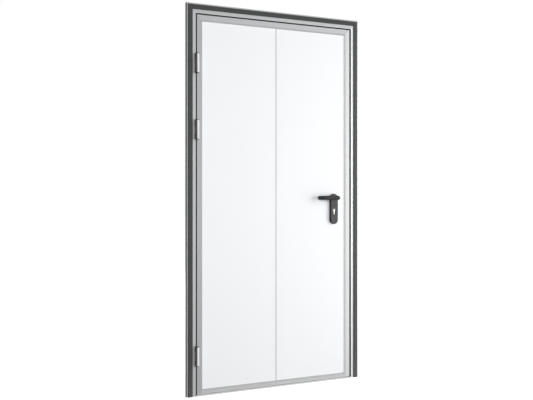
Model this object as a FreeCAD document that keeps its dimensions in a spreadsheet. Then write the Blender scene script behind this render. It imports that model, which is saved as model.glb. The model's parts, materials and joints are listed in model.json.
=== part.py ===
import FreeCAD, Part
import math
import os

import Sketcher

# Single-leaf steel utility door in its aluminium frame, in millimetres.
# X runs to the right along the wall, Y into the wall, Z up. The viewer stands at -Y.
# The origin is on the underside of the threshold, in the middle of the frame's width,
# in the plane of the wall that the casing lies against.

SIZES = {
    # The frame's overall size and its casing, seen from the front.
    "frame_width": 1103.0,
    "frame_height": 2086.5,
    "casing_thickness": 18.0,
    "outer_lip": 7.5,
    "cover_width": 25.0,
    "cover_projection": 6.0,
    "cover_wall": 2.0,
    "cover_edge": 1.2,
    "channel_depth": 8.0,
    "face_width": 20.0,
    "joint_depth": 1.0,
    "reveal_wall": 17.0,
    "frame_depth": 62.0,
    "stop_width": 24.0,
    "stop_thickness": 15.0,
    # Rubber strips in the reveal, on the leaf's edge and on the stop.
    "strip_setback": 1.0,
    "strip_width": 15.0,
    "strip_depth": 2.0,
    "strip_projection": 1.0,
    "seal_inset": 5.0,
    "seal_width": 8.0,
    "seal_depth": 3.0,
    "seal_clearance": 5.0,
    # The threshold between the jambs.
    "threshold_height": 7.5,
    "threshold_nose": 4.0,
    "threshold_projection": 12.0,
    "threshold_stop": 24.0,
    "sill_seal_lift": 3.0,
    # The leaf and its gaps.
    "hinge_gap": 7.0,
    "lock_gap": 8.5,
    "head_gap": 7.0,
    "floor_gap": 13.5,
    "leaf_depth": 56.0,
    "panel_depth": 40.0,
    "rail_face": 26.0,
    "bottom_rail_face": 11.5,
    "bead_width": 8.0,
    "bead_lip": 1.0,
    "panel_cover": 22.0,
    "bottom_panel_cover": 13.5,
    "seam_gap": 2.8,
    "seam_easing": 0.6,
    "seam_depth": 6.0,
    "tongue_length": 9.0,
    "tongue_width": 14.0,
    # Three knuckled hinges on one axis in front of the hinge gap.
    "hinge_radius": 10.0,
    "hinge_standoff": 12.0,
    "hinge_length": 106.0,
    "hinge_knuckle": 30.0,
    "hinge_running_gap": 0.4,
    "hinge_cap_height": 3.0,
    "hinge_cap_radius": 10.4,
    "pin_radius": 5.0,
    "pin_clearance": 0.1,
    "bottom_hinge_height": 213.0,
    "top_hinge_drop": 259.0,
    "upper_hinge_pitch": 352.0,
    # The lever handles, their plates, the cylinder and the lock.
    "backset": 109.5,
    "lever_height": 1050.0,
    "cylinder_drop": 72.0,
    "plate_width": 50.0,
    "plate_rise": 23.0,
    "plate_drop": 151.5,
    "plate_thickness": 16.0,
    "plate_edge": 3.0,
    "lever_reach": 108.5,
    "lever_thickness": 24.6,
    "lever_projection": 52.0,
    "lever_tip_gap": 8.0,
    "lever_tip_easing": 2.0,
    "lever_clearance": 0.4,
    "spindle_size": 9.0,
    "spindle_hole_radius": 7.0,
    "cylinder_radius": 8.5,
    "cylinder_tail_radius": 5.0,
    "cylinder_height": 33.0,
    "cylinder_recess": 3.0,
    "cylinder_clearance": 0.3,
    "keyway_width": 2.6,
    "keyway_length": 9.0,
    "keyway_depth": 6.0,
    "lock_case_height": 165.0,
    "lock_case_thickness": 16.0,
    "lock_case_depth": 136.0,
    "lock_case_rise": 60.0,
    "forend_height": 235.0,
    "forend_width": 24.0,
    "forend_thickness": 3.0,
    "lock_clearance": 0.3,
    "latch_height": 26.0,
    "bolt_height": 36.0,
    "nose_width": 11.0,
    "nose_clearance": 0.4,
    # The strike plate and the pockets that take the latch and the bolt.
    "strike_height": 220.0,
    "strike_width": 18.0,
    "strike_thickness": 2.0,
    "latch_pocket_height": 34.0,
    "bolt_pocket_height": 44.0,
    "pocket_width": 13.0,
    "pocket_depth": 11.0,
    "bolt_drop": 70.0,
    # Fixing holes through the jambs into the wall.
    "fixing_hole_radius": 5.25,
    "fixing_height": 300.0,
    "fixing_drop": 336.5,
}

doc = FreeCAD.newDocument("steel_utility_door")
sheet = doc.addObject("Spreadsheet::Sheet", "sizes")
for row, (alias, number) in enumerate(SIZES.items(), start=1):
    sheet.set(f"A{row}", alias)
    sheet.set(f"B{row}", str(number))
    sheet.setAlias(f"B{row}", alias)
doc.recompute()


class Size:
    """A length or place that carries both its number and the sheet formula that gives it."""

    def __init__(self, number, formula):
        self.number = number
        self.formula = formula

    @staticmethod
    def of(value):
        return value if isinstance(value, Size) else Size(float(value), repr(float(value)))

    def joined(self, other, sign, number):
        return Size(number, f"({self.formula} {sign} {other.formula})")

    def __add__(self, other):
        other = Size.of(other)
        return self.joined(other, "+", self.number + other.number)

    def __radd__(self, other):
        return Size.of(other) + self

    def __sub__(self, other):
        other = Size.of(other)
        return self.joined(other, "-", self.number - other.number)

    def __rsub__(self, other):
        return Size.of(other) - self

    def __mul__(self, other):
        other = Size.of(other)
        return self.joined(other, "*", self.number * other.number)

    def __rmul__(self, other):
        return Size.of(other) * self

    def __truediv__(self, other):
        other = Size.of(other)
        return self.joined(other, "/", self.number / other.number)

    def __neg__(self):
        return Size.of(0) - self


class Sheet:
    """Reads each driving dimension of the spreadsheet by its alias."""

    def __getattr__(self, alias):
        return Size(float(sheet.get(alias)), f"sizes.{alias}")


d = Sheet()
sub_parts = []


def bind(owner, name, size):
    owner.setExpression(name, Size.of(size).formula)


def new_body(node, listed=True):
    """A body of its own. A listed one is a whole sub-part, and its label names the node."""
    body = doc.addObject("PartDesign::Body", node + "_body")
    body.Label = node
    if listed:
        sub_parts.append(body)
    return body


def place(body, x=0, y=0, z=0):
    for axis, size in (("x", x), ("y", y), ("z", z)):
        bind(body, f"Placement.Base.{axis}", size)


def new_sketch(body, name, plane):
    sketch = body.newObject("Sketcher::SketchObject", f"{body.Label}_{name}")
    support = [part for part in body.Origin.OriginFeatures if part.Role == plane + "_Plane"][0]
    sketch.AttachmentSupport = (support, "")
    sketch.MapMode = "FlatFace"
    return sketch


def hold_point(sketch, geometry, point, x, y):
    """Holds a point of the sketch at a place measured from the sketch's origin."""
    for kind, size in (("DistanceX", Size.of(x)), ("DistanceY", Size.of(y))):
        number = sketch.addConstraint(Sketcher.Constraint(kind, -1, 1, geometry, point, size.number))
        bind(sketch, f"Constraints[{number}]", size)


def outline(body, name, plane, corners):
    """A closed outline with straight sides, each corner bound to the sheet."""
    sketch = new_sketch(body, name, plane)
    spots = [FreeCAD.Vector(Size.of(x).number, Size.of(y).number, 0) for x, y in corners]
    count = len(spots)
    for index in range(count):
        sketch.addGeometry(Part.LineSegment(spots[index], spots[(index + 1) % count]), False)
    for index in range(count):
        sketch.addConstraint(Sketcher.Constraint("Coincident", index, 2, (index + 1) % count, 1))
    for index, (x, y) in enumerate(corners):
        hold_point(sketch, index, 1, x, y)
    return sketch


def rectangle(body, name, plane, left, bottom, right, top):
    return outline(body, name, plane, [(left, bottom), (right, bottom), (right, top), (left, top)])


def circle(body, name, plane, x, y, radius):
    sketch = new_sketch(body, name, plane)
    centre = FreeCAD.Vector(Size.of(x).number, Size.of(y).number, 0)
    size = Size.of(radius)
    sketch.addGeometry(Part.Circle(centre, FreeCAD.Vector(0, 0, 1), size.number), False)
    hold_point(sketch, 0, 3, x, y)
    number = sketch.addConstraint(Sketcher.Constraint("Radius", 0, size.number))
    bind(sketch, f"Constraints[{number}]", size)
    return sketch


def round_ended(body, name, plane, x, low_centre, high_centre, radius):
    """An upright outline with straight sides and half-round ends."""
    sketch = new_sketch(body, name, plane)
    across, low, high, size = (Size.of(value) for value in (x, low_centre, high_centre, radius))
    up = FreeCAD.Vector(0, 0, 1)
    left = across.number - size.number
    right = across.number + size.number
    top_circle = Part.Circle(FreeCAD.Vector(across.number, high.number, 0), up, size.number)
    bottom_circle = Part.Circle(FreeCAD.Vector(across.number, low.number, 0), up, size.number)
    sketch.addGeometry(Part.ArcOfCircle(top_circle, 0, math.pi), False)
    sketch.addGeometry(Part.LineSegment(FreeCAD.Vector(left, high.number, 0),
                                        FreeCAD.Vector(left, low.number, 0)), False)
    sketch.addGeometry(Part.ArcOfCircle(bottom_circle, math.pi, 2 * math.pi), False)
    sketch.addGeometry(Part.LineSegment(FreeCAD.Vector(right, low.number, 0),
                                        FreeCAD.Vector(right, high.number, 0)), False)
    for index in range(4):
        sketch.addConstraint(Sketcher.Constraint("Tangent", index, 2, (index + 1) % 4, 1))
    hold_point(sketch, 0, 3, across, high)
    hold_point(sketch, 2, 3, across, low)
    for index in (0, 2):
        number = sketch.addConstraint(Sketcher.Constraint("Radius", index, size.number))
        bind(sketch, f"Constraints[{number}]", size)
    return sketch


def pad(body, sketch, length, reverse=False):
    feature = body.newObject("PartDesign::Pad", sketch.Name + "_pad")
    feature.Profile = sketch
    bind(feature, "Length", length)
    feature.Reversed = reverse
    return feature


def cut_through(body, sketch):
    """Cuts the sketch's outline right through the body, on both sides of the sketch's plane."""
    feature = body.newObject("PartDesign::Pocket", sketch.Name + "_pocket")
    feature.Profile = sketch
    feature.Type = "ThroughAll"
    feature.SideType = "Symmetric"
    return feature


# Places that several pieces share, worked out from the driving dimensions.
half_width = d.frame_width / 2
casing_front = -d.casing_thickness
channel_floor = casing_front + d.channel_depth
cover_start = d.outer_lip
cover_end = d.outer_lip + d.cover_width
reveal = cover_end + d.face_width
stop_end = reveal + d.stop_width
stop_front = d.frame_depth - d.stop_thickness
wall_side = reveal - d.reveal_wall
strip_front = casing_front + d.strip_setback
strip_back = strip_front + d.strip_width
casing_joint = -d.joint_depth

leaf_left = -half_width + reveal + d.hinge_gap
leaf_right = half_width - reveal - d.lock_gap
leaf_bottom = d.floor_gap
leaf_top = d.frame_height - reveal - d.head_gap
leaf_front = casing_front
leaf_back = leaf_front + d.leaf_depth
panel_front = leaf_front + (d.leaf_depth - d.panel_depth) / 2
panel_back = panel_front + d.panel_depth
panel_middle = (panel_front + panel_back) / 2
rail_width = d.rail_face + d.bead_width
bottom_rail_width = d.bottom_rail_face + d.bead_width
panel_left = leaf_left + rail_width - d.panel_cover
panel_right = leaf_right - rail_width + d.panel_cover
panel_bottom = leaf_bottom + bottom_rail_width - d.bottom_panel_cover
panel_top = leaf_top - rail_width + d.panel_cover
seam = (leaf_left + leaf_right) / 2

hinge_x = leaf_left - d.hinge_gap / 2
hinge_y = casing_front - d.hinge_standoff

spindle_x = leaf_right - d.backset
cylinder_height = d.lever_height - d.cylinder_drop
plate_front = panel_front - d.plate_thickness
plate_back = panel_back + d.plate_thickness
lock_middle = d.lever_height - d.cylinder_drop / 2


def casing_section(side):
    """The corners of the casing's section, from its outer edge inwards: lip, channel, silver face.

    side turns a distance from the outer edge into the sketch's first coordinate.
    """
    return [
        (side(0), casing_front), (side(cover_start), casing_front),
        (side(cover_start), channel_floor), (side(cover_end), channel_floor),
        (side(cover_end), casing_front), (side(reveal), casing_front),
        (side(reveal), strip_front), (side(reveal - d.strip_depth), strip_front),
        (side(reveal - d.strip_depth), strip_back), (side(reveal), strip_back),
        (side(reveal), casing_joint), (side(wall_side), casing_joint),
        (side(wall_side), 0), (side(0), 0),
    ]


def jamb_section(side):
    """The part of the frame inside the wall opening, let a little into the casing's back."""
    return [(side(wall_side), casing_joint), (side(reveal), casing_joint),
            (side(reveal), d.frame_depth), (side(wall_side), d.frame_depth)]


def stop_section(side):
    """The stop behind the leaf, with the groove for its seal."""
    seal_start = reveal + d.seal_inset
    seal_end = seal_start + d.seal_width
    return [
        (side(reveal), stop_front), (side(seal_start), stop_front),
        (side(seal_start), stop_front + d.seal_depth), (side(seal_end), stop_front + d.seal_depth),
        (side(seal_end), stop_front), (side(stop_end), stop_front),
        (side(stop_end), d.frame_depth), (side(reveal), d.frame_depth),
    ]


def cover_section(side):
    """The snap-on cover strip: a channel that opens towards the frame, with eased edges."""
    front = casing_front - d.cover_projection
    inner_start = cover_start + d.cover_wall
    inner_end = cover_end - d.cover_wall
    return [
        (side(cover_start), channel_floor), (side(cover_start), front + d.cover_edge),
        (side(cover_start + d.cover_edge), front), (side(cover_end - d.cover_edge), front),
        (side(cover_end), front + d.cover_edge), (side(cover_end), channel_floor),
        (side(inner_end), channel_floor), (side(inner_end), front + d.cover_wall),
        (side(inner_start), front + d.cover_wall), (side(inner_start), channel_floor),
    ]


def reveal_strip_section(side):
    """The flat rubber strip that sits in the reveal's groove."""
    inner = reveal - d.strip_depth
    outer = reveal + d.strip_projection
    return [(side(inner), strip_front), (side(outer), strip_front),
            (side(outer), strip_back), (side(inner), strip_back)]


def stop_seal_section(side):
    """The rubber seal of the stop: a root in its groove and a nose towards the leaf."""
    start = reveal + d.seal_inset
    end = start + d.seal_width
    root = stop_front + d.seal_depth
    nose = leaf_back + d.seal_clearance
    shoulder = (nose + stop_front) / 2
    return [(side(start), root), (side(start), shoulder),
            (side(start + d.seal_width / 4), nose), (side(end - d.seal_width / 4), nose),
            (side(end), shoulder), (side(end), root)]


def left_side(distance):
    return -half_width + distance


def right_side(distance):
    return half_width - distance


def top_side(distance):
    return d.frame_height - distance


def swapped(corners):
    """Turns a section drawn across X and Y into one drawn across Y and Z."""
    return [(y, x) for x, y in corners]


def cut_mitre(body, name, corner_x, sign, top, keep_upright):
    """Cuts a member of the frame or leaf along the 45 degree line through its outer corner.

    sign is 1 at the left corner and -1 at the right one. keep_upright is true for a jamb.
    """
    reach = d.frame_width / 4
    inner = (corner_x + sign * reach, top - reach)
    beyond = (corner_x - sign * reach, top + reach)
    if keep_upright:
        third = (corner_x + sign * reach, top + reach)
    else:
        third = (corner_x - sign * reach, top - reach)
    sketch = outline(body, name, "XZ", [inner, beyond, third])
    cut_through(body, sketch)


def upright(node, section, corner_x, sign, foot, top, listed=True):
    """A vertical member from its foot to a mitred top. sign is 1 on the left and -1 on the right."""
    body = new_body(node, listed)
    pad(body, outline(body, "section", "XY", section), top - foot)
    place(body, z=foot)
    cut_mitre(body, "mitre", corner_x, sign, top - foot, True)
    return body


def crossbar(node, section, left, right, top):
    """A horizontal member with both ends mitred."""
    body = new_body(node)
    pad(body, outline(body, "section", "YZ", swapped(section)), right - left)
    place(body, x=left)
    cut_mitre(body, "left_mitre", 0, 1, top, False)
    cut_mitre(body, "right_mitre", right - left, -1, top, False)
    return body


def frame_upright(node, section, side, sign, foot, listed=True):
    return upright(node, section(side), side(0), sign, foot, d.frame_height, listed)


def frame_crossbar(node, section):
    return crossbar(node, section(top_side), -half_width, half_width, d.frame_height)


def box(name, low, high):
    block = doc.addObject("Part::Box", name)
    for edge, first, last in zip(("Length", "Width", "Height"), low, high):
        bind(block, edge, last - first)
    place(block, *low)
    return block


def rod(name, x, y, z, radius, length, along_wall_depth=False):
    """A round bar that rises along Z, or runs along Y into the wall."""
    bar = doc.addObject("Part::Cylinder", name)
    if along_wall_depth:
        bar.Placement = FreeCAD.Placement(FreeCAD.Vector(), FreeCAD.Rotation(FreeCAD.Vector(1, 0, 0), -90))
    bind(bar, "Radius", radius)
    bind(bar, "Height", length)
    place(bar, x, y, z)
    return bar


def fused(name, pieces):
    union = doc.addObject("Part::MultiFuse", name)
    union.Shapes = pieces
    return union


def cut(node, base, tools, listed=True):
    """The base less all the tools. A listed one is a whole sub-part."""
    result = doc.addObject("Part::Cut", node + "_cut")
    result.Base = base
    result.Tool = tools[0] if len(tools) == 1 else fused(node + "_tools", tools)
    if listed:
        result.Label = node
        sub_parts.append(result)
    return result


def group(node, pieces):
    """Like pieces that stand apart and share a node."""
    compound = doc.addObject("Part::Compound", node + "_group")
    compound.Links = pieces
    compound.Label = node
    sub_parts.append(compound)
    return compound


# The frame, mitred at its top corners: casing, jambs and stops, then covers, strips and seals.
frame_upright("hinge_side_casing", casing_section, left_side, 1, 0)
frame_upright("lock_side_casing", casing_section, right_side, -1, 0)
frame_crossbar("head_casing", casing_section)
hinge_jamb = frame_upright("hinge_jamb", jamb_section, left_side, 1, 0)
lock_profile = frame_upright("lock_jamb_profile", jamb_section, right_side, -1, 0, listed=False)
frame_crossbar("frame_head", jamb_section)
frame_upright("hinge_side_stop", stop_section, left_side, 1, 0)
frame_upright("lock_side_stop", stop_section, right_side, -1, 0)
frame_crossbar("head_stop", stop_section)
frame_upright("hinge_side_cover", cover_section, left_side, 1, 0)
frame_upright("lock_side_cover", cover_section, right_side, -1, 0)
frame_crossbar("head_cover", cover_section)
frame_upright("hinge_reveal_strip", reveal_strip_section, left_side, 1, d.threshold_height)
frame_upright("lock_reveal_strip", reveal_strip_section, right_side, -1, d.threshold_height)
frame_crossbar("head_reveal_strip", reveal_strip_section)
frame_upright("hinge_side_seal", stop_seal_section, left_side, 1, d.threshold_height)
frame_upright("lock_side_seal", stop_seal_section, right_side, -1, d.threshold_height)
frame_crossbar("head_seal", stop_seal_section)

# The wall fixings run across each jamb, from the reveal into the masonry.
fixing_y = (strip_back + stop_front) / 2
for jamb in (hinge_jamb, lock_profile):
    for name, height in (("low_fixing", d.fixing_height), ("high_fixing", d.frame_height - d.fixing_drop)):
        cut_through(jamb, circle(jamb, name, "YZ", fixing_y, height, d.fixing_hole_radius))

# The threshold: a low tread between the jambs, with a stop and a seal behind the leaf.
reveal_left = left_side(reveal)
reveal_right = right_side(reveal)
stop_left = left_side(stop_end)
stop_right = right_side(stop_end)
sill_seal_top = d.threshold_stop - d.sill_seal_lift
sill_seal_bottom = sill_seal_top - d.seal_width
threshold_front = casing_front - d.threshold_projection
threshold = new_body("threshold")
pad(threshold, outline(threshold, "section", "YZ", [
    (threshold_front, 0), (threshold_front, d.threshold_height / 2),
    (threshold_front + d.threshold_nose, d.threshold_height),
    (stop_front, d.threshold_height), (stop_front, sill_seal_bottom),
    (stop_front + d.seal_depth, sill_seal_bottom), (stop_front + d.seal_depth, sill_seal_top),
    (stop_front, sill_seal_top), (stop_front, d.threshold_stop),
    (d.frame_depth, d.threshold_stop), (d.frame_depth, 0),
]), reveal_right - reveal_left)
place(threshold, x=reveal_left)
threshold_length = reveal_right - reveal_left
for name, start, end in (("left_notch", Size.of(0), d.stop_width),
                         ("right_notch", threshold_length - d.stop_width, threshold_length)):
    cut_through(threshold, rectangle(threshold, name, "XY", start, stop_front, end, d.frame_depth))

sill_seal = new_body("sill_seal")
sill_root = stop_front + d.seal_depth
sill_nose = leaf_back + d.seal_clearance
sill_shoulder = (sill_nose + stop_front) / 2
pad(sill_seal, outline(sill_seal, "section", "YZ", [
    (sill_root, sill_seal_bottom), (sill_shoulder, sill_seal_bottom),
    (sill_nose, sill_seal_bottom + d.seal_width / 4), (sill_nose, sill_seal_top - d.seal_width / 4),
    (sill_shoulder, sill_seal_top), (sill_root, sill_seal_top),
]), stop_right - stop_left)
place(sill_seal, x=stop_left)

# The lock jamb carries the strike plate and has the pockets for the latch and the bolt.
strike_front = panel_middle - d.strike_width / 2
strike_low = (reveal_right, strike_front, lock_middle - d.strike_height / 2)
strike_high = (reveal_right + d.strike_thickness, strike_front + d.strike_width,
               lock_middle + d.strike_height / 2)
catch_pockets = []
for name, height, size in (("latch_pocket", d.lever_height, d.latch_pocket_height),
                           ("bolt_pocket", d.lever_height - d.bolt_drop, d.bolt_pocket_height)):
    catch_pockets.append(box(
        name,
        (reveal_right, panel_middle - d.pocket_width / 2, height - size / 2),
        (reveal_right + d.strike_thickness + d.pocket_depth,
         panel_middle + d.pocket_width / 2, height + size / 2)))
cut("lock_jamb", lock_profile, [box("strike_recess", strike_low, strike_high)] + catch_pockets)
cut("strike_plate", box("strike_blank", strike_low, strike_high), catch_pockets)


def leaf_section(side, face, cover):
    """A leaf rail's section from its outer edge inwards: flat face, sloped bead, panel channel."""
    inner = face + d.bead_width
    channel = inner - cover
    return [
        (side(0), leaf_front), (side(face), leaf_front),
        (side(inner), panel_front - d.bead_lip), (side(inner), panel_front),
        (side(channel), panel_front), (side(channel), panel_back),
        (side(inner), panel_back), (side(inner), panel_back + d.bead_lip),
        (side(face), leaf_back), (side(0), leaf_back),
        (side(0), strip_back), (side(d.strip_depth), strip_back),
        (side(d.strip_depth), strip_front), (side(0), strip_front),
    ]


def leaf_strip_section(side):
    """The rubber strip in the leaf's edge, which stands a little proud of it."""
    outer = -d.strip_projection
    return [(side(outer), strip_front), (side(d.strip_depth), strip_front),
            (side(d.strip_depth), strip_back), (side(outer), strip_back)]


def from_left(distance):
    return leaf_left + distance


def from_right(distance):
    return leaf_right - distance


def from_top(distance):
    return leaf_top - distance


def from_bottom(distance):
    return leaf_bottom + distance


# The leaf: mitred stiles and top rail, a bottom rail scribed to the stiles, edge strips.
hinge_stile = upright("hinge_stile", leaf_section(from_left, d.rail_face, d.panel_cover),
                      leaf_left, 1, leaf_bottom, leaf_top)
lock_stile_profile = upright("lock_stile_profile", leaf_section(from_right, d.rail_face, d.panel_cover),
                             leaf_right, -1, leaf_bottom, leaf_top, listed=False)
crossbar("top_rail", leaf_section(from_top, d.rail_face, d.panel_cover), leaf_left, leaf_right, leaf_top)
bottom_blank = new_body("bottom_rail_blank", listed=False)
pad(bottom_blank, outline(bottom_blank, "section", "YZ", swapped(
    leaf_section(from_bottom, d.bottom_rail_face, d.bottom_panel_cover))),
    leaf_right - leaf_left - 2 * d.rail_face)
place(bottom_blank, x=leaf_left + d.rail_face)
cut("bottom_rail", bottom_blank, [hinge_stile, lock_stile_profile])

upright("hinge_edge_strip", leaf_strip_section(from_left), leaf_left, 1, leaf_bottom, leaf_top)
upright("lock_edge_strip", leaf_strip_section(from_right), leaf_right, -1, leaf_bottom, leaf_top)
crossbar("top_edge_strip", leaf_strip_section(from_top), leaf_left, leaf_right, leaf_top)

# The two sandwich panels meet at the seam with a tongue in a groove.
tongue_front = panel_middle - d.tongue_width / 2
tongue_back = panel_middle + d.tongue_width / 2
tongue_tip = seam + d.tongue_length


def panel(node, outer_edge, seam_edge, eased_edge, listed):
    """One panel of the leaf, from its outer edge to an open seam that is closed behind its skins."""
    body = new_body(node, listed)
    pad(body, outline(body, "section", "XY", [
        (outer_edge, panel_front), (eased_edge, panel_front), (seam_edge, panel_front + d.seam_easing),
        (seam_edge, panel_front + d.seam_depth), (seam, panel_front + d.seam_depth),
        (seam, tongue_front), (tongue_tip, tongue_front), (tongue_tip, tongue_back), (seam, tongue_back),
        (seam, panel_back - d.seam_depth), (seam_edge, panel_back - d.seam_depth),
        (seam_edge, panel_back - d.seam_easing), (eased_edge, panel_back), (outer_edge, panel_back),
    ]), panel_top - panel_bottom)
    place(body, z=panel_bottom)
    return body


seam_left = seam - d.seam_gap / 2
seam_right = seam + d.seam_gap / 2
panel("hinge_side_panel", panel_left, seam_left, seam_left - d.seam_easing, True)
lock_panel_blank = panel("lock_side_panel_blank", panel_right, seam_right, seam_right + d.seam_easing, False)

# The mortise lock: its case lies in the panel and its forend is let into the stile.
case_top = d.lever_height + d.lock_case_rise
case_low = (leaf_right - d.forend_thickness - d.lock_case_depth,
            panel_middle - d.lock_case_thickness / 2, case_top - d.lock_case_height)
case_high = (leaf_right - d.forend_thickness, panel_middle + d.lock_case_thickness / 2, case_top)
forend_low = (leaf_right - d.forend_thickness, panel_middle - d.forend_width / 2,
              lock_middle - d.forend_height / 2)
forend_high = (leaf_right, panel_middle + d.forend_width / 2, lock_middle + d.forend_height / 2)


def grown(low, high, margin):
    return tuple(place_ - margin for place_ in low), tuple(place_ + margin for place_ in high)


def keyhole(name, margin, front, back):
    """The cylinder's outline as a solid: a round head over a narrower round-ended tail."""
    length = back - front
    tail_centre = cylinder_height + d.cylinder_radius - d.cylinder_height + d.cylinder_tail_radius
    tail = d.cylinder_tail_radius + margin
    return fused(name, [
        rod(name + "_head", spindle_x, front, cylinder_height, d.cylinder_radius + margin, length, True),
        box(name + "_web", (spindle_x - tail, front, tail_centre), (spindle_x + tail, back, cylinder_height)),
        rod(name + "_tail", spindle_x, front, tail_centre, tail, length, True),
    ])


past_front = leaf_front - d.plate_thickness
past_back = leaf_back + d.plate_thickness
spindle_bore = rod("spindle_bore", spindle_x, past_front, d.lever_height, d.spindle_hole_radius,
                   past_back - past_front, True)
cylinder_cutout = keyhole("cylinder_cutout", d.cylinder_clearance, past_front, past_back)
mortise = fused("mortise", [box("case_mortise", *grown(case_low, case_high, d.lock_clearance)),
                            box("forend_mortise", *grown(forend_low, forend_high, d.lock_clearance))])
cut("lock_stile", lock_stile_profile, [mortise])
cut("lock_side_panel", lock_panel_blank, [mortise, spindle_bore, cylinder_cutout])

# The forend has a window for the latch and one for the bolt, which stay drawn back, flush with it.
windows = []
noses = []
for name, height, size in (("latch", d.lever_height, d.latch_height),
                           ("bolt", d.lever_height - d.bolt_drop, d.bolt_height)):
    nose_low = (leaf_right - d.forend_thickness * 2, panel_middle - d.nose_width / 2, height - size / 2)
    nose_high = (leaf_right, panel_middle + d.nose_width / 2, height + size / 2)
    noses.append(box(name + "_nose", nose_low, nose_high))
    windows.append(box(name + "_window",
                       (leaf_right - d.forend_thickness, nose_low[1] - d.nose_clearance,
                        nose_low[2] - d.nose_clearance),
                       (leaf_right, nose_high[1] + d.nose_clearance, nose_high[2] + d.nose_clearance)))
forend = cut("forend_plate", box("forend_blank", forend_low, forend_high), windows, listed=False)
cut("mortise_lock", fused("lock_body", [box("lock_case", case_low, case_high), forend] + noses),
    [spindle_bore, cylinder_cutout])

# The key cylinder, with a keyway in each face.
cylinder_front = plate_front + d.cylinder_recess
cylinder_back = plate_back - d.cylinder_recess
keyways = []
for name, start, end in (("front_keyway", cylinder_front, cylinder_front + d.keyway_depth),
                         ("back_keyway", cylinder_back - d.keyway_depth, cylinder_back)):
    keyways.append(box(name,
                       (spindle_x - d.keyway_width / 2, start, cylinder_height - d.keyway_length / 2),
                       (spindle_x + d.keyway_width / 2, end, cylinder_height + d.keyway_length / 2)))
cut("key_cylinder", keyhole("cylinder_body", 0, cylinder_front, cylinder_back), keyways)

# The long handle plates, one on each face of the leaf.
plate_radius = d.plate_width / 2
plate_top_centre = d.lever_height + d.plate_rise - plate_radius
plate_bottom_centre = d.lever_height - d.plate_drop + plate_radius


def edges_in_plane(shape, y):
    """Names the edges of a shape that lie wholly in the plane at y."""
    return [f"Edge{number}" for number, edge in enumerate(shape.Edges, start=1)
            if abs(edge.BoundBox.YMin - y) < 0.01 and abs(edge.BoundBox.YMax - y) < 0.01]


def handle_plate(node, seat, outwards):
    """A plate with round ends, eased at its outer edge. outwards is -1 in front and 1 behind."""
    body = new_body(node + "_blank", listed=False)
    back_side = outwards > 0
    pad(body, round_ended(body, "outline", "XZ", spindle_x, plate_bottom_centre, plate_top_centre,
                          plate_radius), d.plate_thickness, back_side)
    place(body, y=seat)
    doc.recompute()
    slab = body.Tip
    outer_edges = edges_in_plane(slab.Shape, outwards * d.plate_thickness.number)
    easing = body.newObject("PartDesign::Fillet", node + "_easing")
    easing.Base = (slab, outer_edges)
    bind(easing, "Radius", d.plate_edge)
    body.Tip = easing
    cut(node, body, [spindle_bore, cylinder_cutout])


handle_plate("front_handle_plate", panel_front, -1)
handle_plate("back_handle_plate", panel_back, 1)


def lever(node, plate_face, panel_face, outwards):
    """A U-shaped lever: a neck from the plate, a grip along the door and a leg back towards it."""
    start = plate_face + outwards * d.lever_clearance
    grip = (panel_face + outwards * d.lever_projection) - start
    tip = (panel_face + outwards * d.lever_tip_gap) - start
    leg = -(d.lever_reach - d.lever_thickness / 2)
    body = new_body(node)
    place(body, spindle_x, start, d.lever_height)
    path = new_sketch(body, "path", "XY")
    corners = [(Size.of(0), Size.of(0)), (Size.of(0), grip), (leg, grip), (leg, tip)]
    spots = [FreeCAD.Vector(x.number, y.number, 0) for x, y in corners]
    for start_spot, end_spot in zip(spots, spots[1:]):
        path.addGeometry(Part.LineSegment(start_spot, end_spot), False)
    section = circle(body, "section", "XZ", 0, 0, d.lever_thickness / 2)
    doc.recompute()
    pipe = body.newObject("PartDesign::AdditivePipe", node + "_pipe")
    pipe.Profile = section
    pipe.Spine = (path, ["Edge1", "Edge2", "Edge3"])
    pipe.Transition = "Round corner"
    body.Tip = pipe
    doc.recompute()
    tip_edges = edges_in_plane(pipe.Shape, tip.number)
    easing = body.newObject("PartDesign::Fillet", node + "_easing")
    easing.Base = (pipe, tip_edges)
    bind(easing, "Radius", d.lever_tip_easing)
    body.Tip = easing


lever("front_lever", plate_front, panel_front, -1)
lever("back_lever", plate_back, panel_back, 1)
spindle = box("spindle", (spindle_x - d.spindle_size / 2, plate_front - d.lever_clearance,
                          d.lever_height - d.spindle_size / 2),
              (spindle_x + d.spindle_size / 2, plate_back + d.lever_clearance,
               d.lever_height + d.spindle_size / 2))
sub_parts.append(spindle)

# The hinges: the frame half has the outer knuckles and the pin, the leaf half the middle knuckle.
barrel_length = d.hinge_length - 2 * d.hinge_cap_height
caps = []


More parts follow.
